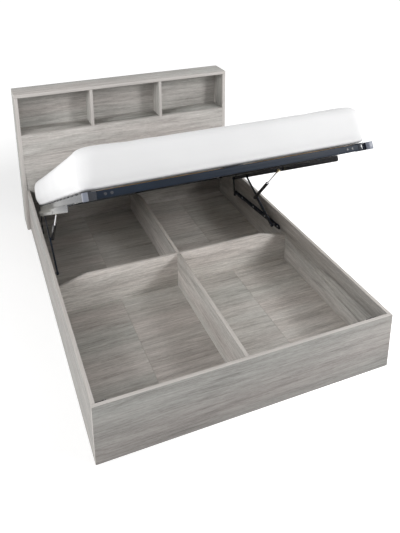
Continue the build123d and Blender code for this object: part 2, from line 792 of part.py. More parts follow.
def report():
    """Print the places and ratios that the joints need."""
    front_swing = slope(front_pivot, front_pin_closed) - slope(front_pivot, front_pin_open)
    rear_swing = slope(rear_pivot, rear_pin_closed) - slope(rear_pivot, rear_pin_open)
    strut_swing = slope(strut_pivot_closed, stud_closed) - slope(strut_pivot, stud_open)
    stroke = math.dist(strut_pivot_closed, stud_closed) - math.dist(strut_pivot, stud_open)
    hinge = lift_angle - front_swing
    print("front pivot", front_pivot, "rear pivot", rear_pivot)
    print("front pin open", front_pin_open, "rear pin open", rear_pin_open)
    print("strut pivot", strut_pivot, "stud open", stud_open)
    print("hinge range", hinge, "rear ratio", rear_swing / hinge, "front ratio", front_swing / hinge)
    print("strut ratio", (strut_swing - front_swing) / hinge, "stroke", stroke)
    print("rod ratio in metres per radian", stroke / M / math.radians(hinge))


os.makedirs("parts", exist_ok=True)
right_dowels, right_bolts, right_locks = corner_joints()
build_headboard(right_dowels, right_bolts)
build_rails(right_dowels, right_bolts, right_locks)
build_storage()
build_rests()
build_base_bars()
build_links()
build_struts()
build_frame()
build_slats()
build_top_bars()
build_mattress()
report()
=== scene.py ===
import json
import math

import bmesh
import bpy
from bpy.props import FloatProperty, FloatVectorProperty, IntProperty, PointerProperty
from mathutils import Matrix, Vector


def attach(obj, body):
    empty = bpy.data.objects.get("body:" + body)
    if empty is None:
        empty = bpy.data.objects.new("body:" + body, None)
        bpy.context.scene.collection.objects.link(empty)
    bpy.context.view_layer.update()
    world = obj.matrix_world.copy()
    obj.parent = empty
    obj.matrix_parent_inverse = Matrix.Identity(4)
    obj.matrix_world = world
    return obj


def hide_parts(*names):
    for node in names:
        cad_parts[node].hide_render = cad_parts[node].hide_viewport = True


bl_info = {
    "name": "Ottoman storage bed",
    "version": (1, 0, 0),
    "blender": (4, 5, 0),
    "location": "View3D > Sidebar > Bed",
    "description": "Dresses the boards, lift frame, slats and mattress of an ottoman storage bed",
    "category": "Object",
}

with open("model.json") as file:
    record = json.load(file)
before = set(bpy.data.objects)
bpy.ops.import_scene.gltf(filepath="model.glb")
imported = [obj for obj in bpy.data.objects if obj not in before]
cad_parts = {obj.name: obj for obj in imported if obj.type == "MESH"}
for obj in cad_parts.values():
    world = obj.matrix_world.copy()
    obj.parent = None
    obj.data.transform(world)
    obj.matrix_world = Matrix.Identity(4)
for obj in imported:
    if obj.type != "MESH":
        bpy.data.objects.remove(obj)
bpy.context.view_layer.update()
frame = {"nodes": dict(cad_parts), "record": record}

# The platform is built level and then turned up about the pole to where the frame holds it.
POLE = Vector((0.0, 0.708, 0.367))
LIFT_ANGLE = math.radians(28.3)
RAISED = Matrix.Translation(POLE) @ Matrix.Rotation(-LIFT_ANGLE, 4, "X") @ Matrix.Translation(-POLE)

WELD_REACH = 2e-6
FLAT_ANGLE = math.radians(0.5)
SHARP_ANGLE = math.radians(35)
CREASE_ANGLE = math.radians(40)
CLOTH_FRAMES = 20
FLOOR_REACH = 30.0
PLY = 0.0016
KNIT_COURSE = 0.0026

# How far apart two boards lie in the noise, and the turns that bring a board's grain to X
BOARD_STEP = (0.37, 0.53, 0.29)
GRAIN_TURNS = {"X": (0, 0, 0), "Y": (0, 0, -math.pi / 2), "Z": (0, math.pi / 2, 0)}

# Place, aim, size and power of each softbox
LAMPS = {
    "key": ((3.12, -3.60, 2.85), (0.1, -0.2, 0.2), 1.3, 118.0),
    "right": ((3.6, -0.7, 2.6), (0.1, 0.1, 0.2), 1.3, 38.0),
    "left": ((-3.6, -0.9, 2.3), (-0.2, 0.0, 0.5), 1.8, 94.0),
}

# Which way the grain runs on each board, across which faces the laminate is laid, and how pale the board is. The
# paleness is painted light and shade: the one laminate made lighter or darker on each board to stand in for how the
# light falls on it
BOARDS = {
    "footboard": ("X", "Y", 0.74),
    "side_rail_right": ("Y", "X", 0.95),
    "side_rail_left": ("Y", "X", 0.75),
    "headboard_side_right": ("Z", "X", 0.95),
    "headboard_side_left": ("Z", "X", 0.95),
    "headboard_top": ("X", "Z", 1.08),
    "headboard_shelf": ("X", "Z", 0.95),
    "headboard_front_panel": ("X", "Y", 0.98),
    "headboard_back_panel": ("X", "Y", 1.0),
    "cubby_divider_right": ("Z", "X", 1.0),
    "cubby_divider_left": ("Z", "X", 1.0),
    "lengthwise_divider": ("Y", "X", 1.10),
    "crosswise_divider": ("X", "Y", 1.38),
    "floor_panel_1": ("X", "Z", 0.94),
    "floor_panel_2": ("X", "Z", 1.03),
    "floor_panel_3": ("X", "Z", 1.12),
    "floor_panel_4": ("X", "Z", 1.28),
}


def colour(name, description, default):
    """A colour property in plain linear values."""
    return FloatVectorProperty(name=name, description=description, default=default, subtype="COLOR", min=0, max=1)


def length(name, description, default):
    """A length property in metres."""
    return FloatProperty(name=name, description=description, default=default, unit="LENGTH", min=0, precision=5)


def part(name, description, default):
    """A plain number between nought and one."""
    return FloatProperty(name=name, description=description, default=default, subtype="FACTOR", min=0, max=1)


def number(name, description, default, unit="NONE"):
    """A number of either sign."""
    return FloatProperty(name=name, description=description, default=default, unit=unit)


class BoardLook(bpy.types.PropertyGroup):
    """Grey oak-effect laminate on the boards."""

    dark: colour("Dark grain", "Colour of the darkest streaks", (0.225, 0.209, 0.195))
    middle: colour("Middle grain", "Colour of most of the face", (0.470, 0.448, 0.428))
    light: colour("Light grain", "Colour of the palest streaks", (0.690, 0.664, 0.638))
    cool: colour("Cool cast", "Tint of the greyer parts of a board", (0.960, 1.000, 0.990))
    warm: colour("Warm cast", "Tint of the browner parts of a board", (1.000, 0.976, 0.966))
    band: colour("Edge band", "Colour of the strip on the boards' edges", (0.585, 0.555, 0.528))
    raw: colour("Bare wood", "Colour of battens and dowels", (0.52, 0.37, 0.22))
    round: length("Edge rounding", "Rounding of the boards' edges", 0.0009)


class SteelLook(bpy.types.PropertyGroup):
    """Powder-coated lift frame and its hardware."""

    coat: colour("Frame coat", "Dark blue-grey powder coat", (0.0090, 0.0125, 0.0215))
    # Painted light: the foot rail's coat is the frame's coat made paler and bluer, as pale as the lit foot rail
    # looks
    foot: colour("Foot rail coat", "The same coat on the foot rail, a little paler", (0.0120, 0.0180, 0.0290))
    veil: colour("Rail veil", "Pale cast of the side rails seen along their length", (1.00, 0.98, 0.90))
    cap: colour("Tube caps", "Blue-grey plastic caps on the tube ends", (0.190, 0.205, 0.250))
    zinc: colour("Zinc", "Plated screws and cam fittings", (0.62, 0.63, 0.64))
    brass: colour("Rod ends", "Yellow-plated rod ends of the struts", (0.72, 0.62, 0.40))
    rubber: colour("Rubber", "Rest pads", (0.020, 0.020, 0.022))
    tube_round: length("Tube rounding", "Outer corner rounding of the tubes", 0.0016)
    bar_round: length("Bar rounding", "Edge rounding of flat bars, links and pins", 0.0006)


class SlatShape(bpy.types.PropertyGroup):
    """The two rows of sprung slats and their holders."""

    count: IntProperty(name="Slats in a row", description="How many slats each row has", default=14, min=2)
    first: length("First slat", "Distance of the first slat from the platform's foot", 0.095)
    foot: number("Foot", "Where the level platform begins", -1.024, "LENGTH")
    long: length("Platform length", "Length of the platform frame", 1.870)
    inner: length("Inner end", "Distance of a slat's inner end from the middle", 0.019)
    outer: length("Outer end", "Distance of a slat's outer end from the middle", 0.628)
    width: length("Width", "Width of a slat", 0.055)
    thick: length("Thickness", "Thickness of a slat", 0.008)
    bow: length("Bow", "Rise of a slat's middle over its ends", 0.002)
    under: length("Underside", "Height of a slat's ends on the level platform", 0.259)
    wood: colour("Slat wood", "Lacquered birch", (0.560, 0.390, 0.195))
    glue: colour("Glue line", "Darker layers in a slat's edge", (0.300, 0.180, 0.080))
    plastic: colour("Holders", "Black plastic slat holders", (0.018, 0.019, 0.022))


class MattressShape(bpy.types.PropertyGroup):
    """The plain white mattress."""

    wide: length("Width", "Width of the mattress", 1.344)
    long: length("Length", "Length of the mattress", 1.864)
    tall: length("Height", "Height of the mattress at its edge", 0.169)
    under: length("Underside", "Height of the mattress's underside on the level platform", 0.2696)
    middle: number("Middle", "Y of the middle of the level mattress", -0.081, "LENGTH")
    corner: length("Corner", "Rounding of the corners seen from above", 0.086)
    top_round: length("Top rounding", "Rounding of the top edge", 0.042)
    base_round: length("Base rounding", "Rounding of the bottom edge", 0.040)
    crown: length("Crown", "Rise of the top's middle over its edge", 0.008)
    draw: length("Draw in", "How far the sides pull in between the corners", 0.002)
    barrel: length("Barrel", "How far the sides stand out halfway up", 0.009)
    cell: length("Cell", "Size of the cloth's cells while it fills out", 0.018)
    pressure: FloatProperty(name="Pressure", description="Pressure inside the cover", default=4.0, min=0)
    swell: length("Swell", "The most that the cover moves outwards", 0.010)
    cloth: colour("Cover", "White knitted cover", (0.885, 0.885, 0.89))


class StageLook(bpy.types.PropertyGroup):
    """Floor, light and camera."""

    floor: colour("Floor", "Pale studio floor", (0.78, 0.78, 0.78))
    glow: part("Floor glow", "Light that the far floor adds towards the camera", 0.76)
    glow_near: part("Near glow", "The same beside the bed, low enough for its shadow to show", 0.41)
    sky: part("Surroundings", "Strength of the white surroundings as a light", 0.34)
    lens: number("Lens", "Focal length", 40.74, "CAMERA")
    shift: number("Shift", "Vertical shift of the lens", -0.3124)
    camera: FloatVectorProperty(
        name="Camera",
        description="Place of the camera",
        default=(-0.99922, -2.8837, 2.13579),
        subtype="XYZ",
        unit="LENGTH",
    )
    turn: number("Turn", "Turn of the camera to the right", 0.38614, "ROTATION")
    dip: number("Dip", "Downward tilt of the camera", 0.32496, "ROTATION")
    roll: number("Roll", "Roll of the camera", -0.00418, "ROTATION")


# Meshes


def welded(node):
    """A copy of a frame node's mesh with its loose triangles joined."""
    bm = bmesh.new()
    bm.from_mesh(frame["nodes"][node].data)
    bmesh.ops.remove_doubles(bm, verts=bm.verts, dist=WELD_REACH)
    return bm


def merged(node):
    """The same copy with its flat faces made whole."""
    bm = welded(node)
    bmesh.ops.dissolve_limit(
        bm, angle_limit=FLAT_ANGLE, use_dissolve_boundaries=False, verts=bm.verts, edges=bm.edges
    )
    return bm


def smoothed(mesh):
    """The mesh with every face smooth."""
    mesh.polygons.foreach_set("use_smooth", [True] * len(mesh.polygons))
    return mesh


def baked(host):
    """The plain mesh that an object's modifiers make. The object goes."""
    bpy.context.view_layer.update()
    graph = bpy.context.evaluated_depsgraph_get()
    mesh = bpy.data.meshes.new_from_object(host.evaluated_get(graph))
    host.modifiers.clear()
    bpy.data.objects.remove(host)
    return mesh


def placed(name, data):
    """A new object in the scene that holds a mesh, a lamp or a camera."""
    host = bpy.data.objects.new(name, data)
    bpy.context.scene.collection.objects.link(host)
    return host


def soften(bm, width, least):
    """Rounds the sharp outer edges that are long enough for it."""
    edges = []
    for edge in bm.edges:
        if len(edge.link_faces) != 2 or not edge.is_convex:
            continue
        if edge.calc_face_angle(0) > SHARP_ANGLE and edge.calc_length() > least * width:
            edges.append(edge)
    bmesh.ops.bevel(
        bm, geom=edges, offset=width, segments=2, profile=0.5, affect="EDGES", clamp_overlap=True, loop_slide=True
    )


def mesh_from(bm, name):
    """A finished mesh, smooth but for its sharp edges."""
    bmesh.ops.triangulate(bm, faces=[f for f in bm.faces if len(f.verts) > 4])
    mesh = bpy.data.meshes.new(name)
    bm.to_mesh(mesh)
    bm.free()
    smoothed(mesh).set_sharp_from_angle(angle=CREASE_ANGLE)
    return mesh


def show(mesh, node, material):
    """Stands a finished piece in for one node, on the same body."""
    piece = placed(node + "_piece", mesh)
    mesh.materials.clear()
    mesh.materials.append(material)
    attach(piece, body_of(node))
    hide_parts(node)
    return piece


def dress(node, width, material, least=4.0):
    """Shows a softened copy of one node."""
    bm = merged(node)
    soften(bm, width, least)
    return show(mesh_from(bm, node + "_piece"), node, material)


def body_of(node):
    """The body that a node belongs to."""
    return next(b for b, members in frame["record"]["behaviour"]["bodies"].items() if node in members)


def solids_of(node, level=False):
    """Lowest and highest corner of each separate solid of a node, on the level platform if asked."""
    bm = welded(node)
    turn = RAISED.inverted() if level else Matrix.Identity(4)
    left, boxes = set(bm.verts), []
    while left:
        stack, found = [left.pop()], []
        while stack:
            vert = stack.pop()
            found.append(turn @ vert.co)
            for edge in vert.link_edges:
                other = edge.other_vert(vert)
                if other in left:
                    left.discard(other)
                    stack.append(other)
        low = Vector([min(p[k] for p in found) for k in range(3)])
        high = Vector([max(p[k] for p in found) for k in range(3)])
        boxes.append((low, high))
    bm.free()
    return sorted(boxes, key=lambda b: tuple(b[0]))


def ring_radius(shape, radius, angle):
    """Radius of a ring that is round, six-sided or a cross, at one angle."""
    if shape == "hex":
        third = math.radians(60)
        return radius / math.cos((angle + third / 2) % third - third / 2)
    if shape == "cross":
        c, s = abs(math.cos(angle)), abs(math.sin(angle))
        arm = 0.3 * radius
        return min(radius, arm / max(min(c, s), 1e-6))
    return radius


def turned_piece(name, rings, recess, shape):
    """A closed turned solid from (radius, height) rings, bottom to top, with a shaped recess in its top."""
    bm = bmesh.new()
    segments = 48 if shape == "cross" else 36
    outlines = ["round"] * len(rings) + [shape] * len(recess)
    loops = []
    for outline, (radius, height) in zip(outlines, rings + recess):
        loop = []
        for step in range(segments):
            angle = 2 * math.pi * step / segments
            r = ring_radius(outline, radius, angle)
            loop.append(bm.verts.new((r * math.cos(angle), r * math.sin(angle), height)))
        loops.append(loop)
    bm.faces.new(reversed(loops[0]))
    bm.faces.new(loops[-1])
    for a, b in zip(loops, loops[1:]):
        for k in range(segments):
            n = (k + 1) % segments
            bm.faces.new((a[k], a[n], b[n], b[k]))
    bmesh.ops.recalc_face_normals(bm, faces=bm.faces)
    return mesh_from(bm, name)


def fastener(name, shank, shank_length, head, height, shape):
    """A screw or bolt standing up +Z from its seat at the origin, with a domed head and a driven recess."""
    rings = [
        (shank * 0.6, -shank_length),
        (shank, -shank_length + shank * 0.6),
        (shank, 0.0),
        (head * 0.97, 0.0),
        (head, height * 0.2),
        (head * 0.93, height * 0.66),
        (head * 0.74, height * 0.94),
        (head * 0.62, height),
    ]
    return turned_piece(name, rings, [(head * 0.50, height), (head * 0.46, height * 0.45)], shape)


# Geometry Nodes trees


def socket_of(tree, name):
    """Identifier of a tree's named input."""
    return next(i.identifier for i in tree.interface.items_tree if i.in_out == "INPUT" and i.name == name)


def start_tree(name, inputs):
    """A new tree with named inputs and one geometry output."""
    tree = bpy.data.node_groups.new(name, "GeometryNodeTree")
    tree.interface.new_socket(name="Geometry", in_out="OUTPUT", socket_type="NodeSocketGeometry")
    for label, kind in inputs:
        tree.interface.new_socket(name=label, in_out="INPUT", socket_type=kind)
    return tree, tree.nodes.new("NodeGroupInput"), tree.nodes.new("NodeGroupOutput")


def finish_tree(tree, points, enter, leave):
    """Puts the piece on each point and ends in Realize Instances and Set Material."""
    info = tree.nodes.new("GeometryNodeObjectInfo")
    copies = tree.nodes.new("GeometryNodeInstanceOnPoints")
    tree.links.new(enter.outputs["Piece"], info.inputs["Object"])
    tree.links.new(points, copies.inputs["Points"])
    tree.links.new(info.outputs["Geometry"], copies.inputs["Instance"])
    real = tree.nodes.new("GeometryNodeRealizeInstances")
    paint = tree.nodes.new("GeometryNodeSetMaterial")
    tree.links.new(copies.outputs[0], real.inputs[0])
    tree.links.new(real.outputs[0], paint.inputs["Geometry"])
    tree.links.new(enter.outputs["Finish"], paint.inputs["Material"])
    tree.links.new(paint.outputs[0], leave.inputs[0])


def row_tree():
    """Copies of one piece at even steps along a line."""
    found = bpy.data.node_groups.get("Row of pieces")
    if found:
        return found
    kinds = (
        ("Geometry", "NodeSocketGeometry"),
        ("Piece", "NodeSocketObject"),
        ("Count", "NodeSocketInt"),
        ("First", "NodeSocketVector"),
        ("Step", "NodeSocketVector"),
        ("Finish", "NodeSocketMaterial"),
    )
    tree, enter, leave = start_tree("Row of pieces", kinds)
    line = tree.nodes.new("GeometryNodeMeshLine")
    line.mode = "OFFSET"
    tree.links.new(enter.outputs["Count"], line.inputs["Count"])
    tree.links.new(enter.outputs["First"], line.inputs["Start Location"])
    tree.links.new(enter.outputs["Step"], line.inputs["Offset"])
    finish_tree(tree, line.outputs[0], enter, leave)
    return tree


def places_tree():
    """Copies of one piece at each point of a mesh."""
    found = bpy.data.node_groups.get("Pieces at places")
    if found:
        return found
    kinds = (("Geometry", "NodeSocketGeometry"), ("Piece", "NodeSocketObject"), ("Finish", "NodeSocketMaterial"))
    tree, enter, leave = start_tree("Pieces at places", kinds)
    finish_tree(tree, enter.outputs["Geometry"], enter, leave)
    return tree


def grown(tree, name, carrier, piece_mesh, values, move):
    """Runs a tree on a carrier mesh and returns the plain mesh that it makes, moved into place."""
    seed = placed(name + "_pattern", piece_mesh)
    host = placed(name + "_host", carrier)
    modifier = host.modifiers.new("Pieces", "NODES")
    modifier.node_group = tree
    modifier[socket_of(tree, "Piece")] = seed
    for label, value in values.items():
        modifier[socket_of(tree, label)] = value
    mesh = baked(host)
    bpy.data.objects.remove(seed)
    mesh.name = name
    mesh.transform(move)
    return mesh


def row_of(name, piece_mesh, count, first, step, material):
    """A row of like pieces on the raised platform as one plain mesh."""
    values = {"Count": count, "First": first, "Step": step, "Finish": material}
    return grown(row_tree(), name, bpy.data.meshes.new(name + "_carrier"), piece_mesh, values, RAISED)


def pieces_at(name, piece_mesh, places, material, move=Matrix.Identity(4)):
    """Like pieces at given places as one plain mesh."""
    carrier = bpy.data.meshes.new(name + "_carrier")
    carrier.from_pydata([tuple(p) for p in places], [], [])
    return grown(places_tree(), name, carrier, piece_mesh, {"Finish": material}, move)


def joined(name, meshes):
    """Several plain meshes as one."""
    bm = bmesh.new()
    for mesh in meshes:
        bm.from_mesh(mesh)
    found = bpy.data.meshes.new(name)
    bm.to_mesh(found)
    bm.free()
    found.materials.append(meshes[0].materials[0])
    smoothed(found).set_sharp_from_angle(angle=CREASE_ANGLE)
    return found


# Materials


def new_material(name):
    """An empty node material with one Principled shader."""
    material = bpy.data.materials.new(name)
    material.use_nodes = True
    tree = material.node_tree
    tree.nodes.clear()
    out = tree.nodes.new("ShaderNodeOutputMaterial")
    shader = tree.nodes.new("ShaderNodeBsdfPrincipled")
    tree.links.new(shader.outputs[0], out.inputs[0])
    return material, tree, shader


def node(tree, kind, inputs=None, **settings):
    """A shader node with its settings, values and links."""
    made = tree.nodes.new(kind)
    for key, value in settings.items():
        setattr(made, key, value)
    fill(tree, made, inputs or {})
    return made


def fill(tree, made, inputs):
    """Links a node's inputs, or sets them to plain values."""
    for key, value in inputs.items():
        if isinstance(value, bpy.types.NodeSocket):
            tree.links.new(value, made.inputs[key])
        else:
            made.inputs[key].default_value = value


def node_of(tree, kind):
    """The one node of a kind in a tree."""
    return next(n for n in tree.nodes if n.type == kind)


def on_object(tree):
    """Object coordinates."""
    return node(tree, "ShaderNodeTexCoord").outputs["Object"]


def wide(rgb):
    """A colour with full alpha."""
    return (rgb[0], rgb[1], rgb[2], 1.0)


def mapped(tree, source, scale=(1, 1, 1), turn=(0, 0, 0), place=(0, 0, 0)):
    """Coordinates stretched, turned and shifted."""
    values = {"Vector": source, "Location": place, "Rotation": turn, "Scale": scale}
    return node(tree, "ShaderNodeMapping", values).outputs[0]


def noise(tree, source, scale=1.0, detail=2.0, rough=0.5):
    """A noise value on coordinates."""
    values = {"Vector": source, "Scale": scale, "Detail": detail, "Roughness": rough}
    return node(tree, "ShaderNodeTexNoise", values).outputs["Fac"]


def drawn(tree, source, along, across, detail, rough=0.5, place=(0, 0, 0)):
    """Noise drawn out along the grain."""
    stretched = mapped(tree, source, (along, across, across), place=place)
    return noise(tree, stretched, detail=detail, rough=rough)


def maths(tree, kind, a, b=0.0, c=0.0):
    """One arithmetic node."""
    return node(tree, "ShaderNodeMath", {0: a, 1: b, 2: c}, operation=kind).outputs[0]


def spread(tree, value, low, high, to_low=0.0, to_high=1.0):
    """A value taken from one range to another and held there."""
    values = {0: value, 1: low, 2: high, 3: to_low, 4: to_high}
    return node(tree, "ShaderNodeMapRange", values).outputs[0]


def mixed(tree, share, a, b, blend="MIX"):
    """Two colours mixed by a share."""
    values = {0: share, 6: a, 7: b}
    return node(tree, "ShaderNodeMix", values, data_type="RGBA", blend_type=blend).outputs[2]


def bumped(tree, height, strength, distance):
    """A normal raised by a height."""
    return node(tree, "ShaderNodeBump", {"Height": height, "Strength": strength, "Distance": distance}).outputs[0]


def ramp(tree, value, stops):
    """A colour ramp with (place, colour) stops."""
    made = tree.nodes.new("ShaderNodeValToRGB")
    line = made.color_ramp.elements
    while len(line) < len(stops):
        line.new(0.5)
    for stop, (place, rgb) in zip(line, stops):
        stop.position = place
        stop.color = wide(rgb)
    tree.links.new(value, made.inputs[0])
    return made.outputs[0]


def laminate(name, grain, face, place, pale, look):
    """Grey oak-effect laminate with paler bands on the edges that the laminate doesn't cover."""
    material, tree, shader = new_material(name)
    base = mapped(tree, on_object(tree), turn=GRAIN_TURNS[grain], place=place)
    flow = drawn(tree, base, 1.8, 6.0, 3.0)
    bend = maths(tree, "MULTIPLY_ADD", flow, 0.03, -0.015)
    drift = node(tree, "ShaderNodeCombineXYZ", {"X": 0.0, "Y": bend, "Z": bend}).outputs[0]
    wavy = node(tree, "ShaderNodeVectorMath", {0: base, 1: drift}, operation="ADD").outputs[0]
    broad = drawn(tree, wavy, 0.7, 9.0, 2.0)
    patch = drawn(tree, wavy, 2.4, 40.0, 5.0, 0.62)
    streak = drawn(tree, wavy, 6.0, 140.0, 7.0, 0.70)
    fibre = drawn(tree, base, 40.0, 520.0, 3.0, 0.6)
    tone = -0.17
    for value, share in ((broad, 0.34), (patch, 0.46), (streak, 0.74), (fibre, 0.45)):
        tone = maths(tree, "MULTIPLY_ADD", value, share, tone)
    tone = maths(tree, "ADD", tone, -0.325)
    pores = spread(tree, drawn(tree, base, 34.0, 640.0, 2.0), 0.60, 0.72)
    flecks = spread(tree, drawn(tree, base, 150.0, 260.0, 2.0), 0.66, 0.76, 0.0, 0.5)
    stain = drawn(tree, wavy, 3.5, 30.0, 5.0, place=(3, 5, 7))
    smudge = spread(tree, stain, 0.58, 0.78, 0.0, 0.16)
    tone = maths(tree, "SUBTRACT", tone, smudge)
    rgb = ramp(tree, tone, ((0.22, look.dark), (0.50, look.middle), (0.76, look.light)))
    cast = drawn(tree, wavy, 0.5, 5.0, 5.0, place=(9, 2, 4))
    rgb = mixed(tree, 1.0, rgb, ramp(tree, cast, ((0.34, look.cool), (0.66, look.warm))), "MULTIPLY")
    rgb = mixed(tree, maths(tree, "MULTIPLY", pores, 0.30), rgb, wide(look.dark))
    rgb = mixed(tree, flecks, rgb, wide(look.light))
    stripe = drawn(tree, base, 6.0, 210.0, 3.0)
    band = ramp(tree, stripe, ((0.25, [0.80 * c for c in look.band]), (0.70, look.band)))
    normal = node(tree, "ShaderNodeSeparateXYZ", {0: node(tree, "ShaderNodeNewGeometry").outputs["True Normal"]})
    across = maths(tree, "ABSOLUTE", normal.outputs["XYZ".index(face)])
    covered = spread(tree, across, 0.45, 0.55)
    # Painted light and shade: the laminate is multiplied by the board's pale number, lighter or darker for how the
    # light falls on that board
    rgb = mixed(tree, 1.0, rgb, (pale, pale, pale, 1.0), "MULTIPLY")
    height = maths(tree, "MULTIPLY_ADD", fibre, 0.6, maths(tree, "MULTIPLY", pores, -0.6))
    values = {
        "Base Color": mixed(tree, covered, band, rgb),
        "Roughness": spread(tree, streak, 0.3, 0.7, 0.50, 0.62),
        "Normal": bumped(tree, height, 0.35, 0.0004),
        "Specular IOR Level": 0.35,
    }
    fill(tree, shader, values)
    return material


def bare_wood(name, pale, dark, turn=(0, 0, 0), layers=0.0):
    """Plain wood with its grain along X: growth streaks, and thin glued layers where asked."""
    material, tree, shader = new_material(name)
    level = mapped(tree, on_object(tree), turn=turn)
    streak = drawn(tree, level, 7.0, 150.0, 5.0, 0.6)
    cloud = drawn(tree, level, 3.0, 22.0, 2.0)
    tone = maths(tree, "MULTIPLY_ADD", streak, 0.75, maths(tree, "MULTIPLY", cloud, 0.35))
    rgb = ramp(tree, tone, ((0.28, dark), (0.52, [0.5 * (a + b) for a, b in zip(dark, pale)]), (0.74, pale)))
    if layers:
        along = node(tree, "ShaderNodeSeparateXYZ", {0: level}).outputs["Z"]
        wave = maths(tree, "SINE", maths(tree, "MULTIPLY", along, 2 * math.pi / layers))
        edge = node(tree, "ShaderNodeTexCoord").outputs["Normal"]
        facing = node(tree, "ShaderNodeSeparateXYZ", {0: mapped(tree, edge, turn=turn)})
        upright = maths(tree, "ABSOLUTE", facing.outputs["Z"])
        side = spread(tree, upright, 0.4, 0.6, 1.0, 0.0)
        line = spread(tree, wave, 0.55, 0.9, 0.0, 0.75)
        rgb = mixed(tree, maths(tree, "MULTIPLY", side, line), rgb, wide(dark))
    rough = spread(tree, streak, 0.3, 0.7, 0.34, 0.48)
    fill(tree, shader, {"Base Color": rgb, "Roughness": rough, "Normal": bumped(tree, streak, 0.2, 0.0003)})
    return material


def painted_steel(name, rgb, rough, gloss):
    """Powder coat: fine orange peel and a slight change of tone."""
    material, tree, shader = new_material(name)
    source = on_object(tree)
    cloud = noise(tree, source, scale=9.0, detail=3.0)
    peel = noise(tree, source, scale=900.0, detail=2.0)
    pale = wide([min(1.0, 1.35 * c + 0.002) for c in rgb])
    values = {
        "Base Color": mixed(tree, spread(tree, cloud, 0.3, 0.7), wide(rgb), pale),
        "Roughness": spread(tree, cloud, 0.3, 0.7, rough - 0.04, rough + 0.05),
        "Normal": bumped(tree, peel, 0.18, 0.0002),
        "Specular IOR Level": gloss,
    }
    fill(tree, shader, values)
    return material


def plated(name, rgb, rough=0.3):
    """Plated or polished metal with fine random wear."""
    material, tree, shader = new_material(name)
    source = on_object(tree)
    fine = noise(tree, source, scale=1500.0)
    cloud = noise(tree, source, scale=60.0, detail=3.0)
    dull = wide([0.78 * c for c in rgb])
    values = {
        "Base Color": mixed(tree, spread(tree, cloud, 0.35, 0.7), wide(rgb), dull),
        "Roughness": spread(tree, fine, 0.3, 0.7, rough - 0.05, rough + 0.08),
        "Normal": bumped(tree, fine, 0.06, 0.0001),
        "Metallic": 1.0,
    }
    fill(tree, shader, values)
    return material


def moulded(name, rgb, rough):
    """Moulded plastic or rubber with a fine spark-eroded grain."""
    material, tree, shader = new_material(name)
    source = on_object(tree)
    grain = node(tree, "ShaderNodeTexVoronoi", {"Vector": source, "Scale": 1400.0}).outputs["Distance"]
    cloud = noise(tree, source, scale=40.0, detail=3.0)
    pale = wide([min(1.0, 1.18 * c + 0.003) for c in rgb])
    values = {
        "Base Color": mixed(tree, cloud, wide(rgb), pale),
        "Roughness": spread(tree, cloud, 0.3, 0.7, rough - 0.05, rough + 0.06),
        "Normal": bumped(tree, grain, 0.15, 0.0002),
    }
    fill(tree, shader, values)
    return material


def knitted(name, rgb):
    """White knitted cover: rows of small loops with painted shade in the hollows between them, and a soft fall of
    tone.
    """
    material, tree, shader = new_material(name)
    level = mapped(tree, on_object(tree), turn=(LIFT_ANGLE, 0, 0))
    split = node(tree, "ShaderNodeSeparateXYZ", {0: level})
    pitch = 2 * math.pi / KNIT_COURSE
    rows = maths(tree, "SINE", maths(tree, "MULTIPLY", split.outputs["Y"], pitch))
    loops = maths(tree, "SINE", maths(tree, "MULTIPLY", split.outputs["X"], pitch * 0.7))
    courses = maths(tree, "SINE", maths(tree, "MULTIPLY", split.outputs["Z"], pitch))
    weave = maths(tree, "ADD", maths(tree, "MULTIPLY", rows, loops), maths(tree, "MULTIPLY", courses, 0.6))
    lint = noise(tree, level, scale=1100.0, detail=2.0)
    height = maths(tree, "MULTIPLY_ADD", weave, 0.35, lint)
    cloud = noise(tree, level, scale=3.0, detail=2.0)
    shade = wide([0.965 * c for c in rgb])
    tone = mixed(tree, spread(tree, cloud, 0.35, 0.65), wide(rgb), shade)
    # Painted shade: the hollows of the weave are made a little darker
    painted_hollow_shade = maths(tree, "MULTIPLY", spread(tree, weave, -1.2, -0.4, 1.0, 0.0), 0.10)
    values = {
        "Base Color": mixed(tree, painted_hollow_shade, tone, wide([0.80 * c for c in rgb])),
        "Normal": bumped(tree, height, 0.25, 0.0004),
        "Roughness": spread(tree, lint, 0.3, 0.7, 0.86, 0.95),
        "Sheen Weight": 0.15,
        "Sheen Roughness": 0.5,
        "Specular IOR Level": 0.2,
    }
    fill(tree, shader, values)
    return material


def stock(name, maker, *args):
    """A material by name, made once."""
    return bpy.data.materials.get(name) or maker(name, *args)


def frame_coat():
    """The lift frame's powder coat."""
    return stock("frame_coat", painted_steel, bpy.context.scene.bed_steel.coat, 0.16, 0.24)


def veiled_steel(name, rgb, veil):
    """Powder coat that looks pale where it is seen along its length."""
    material = painted_steel(name, rgb, 0.12, 0.8)
    shader = node_of(material.node_tree, "BSDF_PRINCIPLED")
    values = {"Sheen Weight": 1.0, "Sheen Roughness": 0.25, "Sheen Tint": wide(veil)}
    fill(material.node_tree, shader, values)
    return material


def rail_coat():
    """The coat of the rails and bars at the platform's sides."""
    steel = bpy.context.scene.bed_steel
    return stock("rail_coat", veiled_steel, steel.coat, steel.veil)


# Pieces


class BED_OT_boards(bpy.types.Operator):
    """Rounds the boards' edges and lays the laminate on them"""

    bl_idname = "bed.boards"
    bl_label = "Boards"

    def execute(self, context):
        look = context.scene.bed_board
        # Each board gets its own copy of the laminate, made lighter or darker by painted light and shade
        for number, (name, (grain, face, pale)) in enumerate(BOARDS.items()):
            place = [number * step for step in BOARD_STEP]
            dress(name, look.round, laminate("painted_light_laminate_" + name, grain, face, place, pale, look), least=12.0)
        raw = [0.6 * c for c in look.raw]
        dress("floor_battens", look.round, bare_wood("batten_wood", look.raw, raw))
        for name in ("corner_dowels", "headboard_dowels"):
            dress(name, look.round, stock("dowel_wood", bare_wood, look.raw, raw))
        return {"FINISHED"}


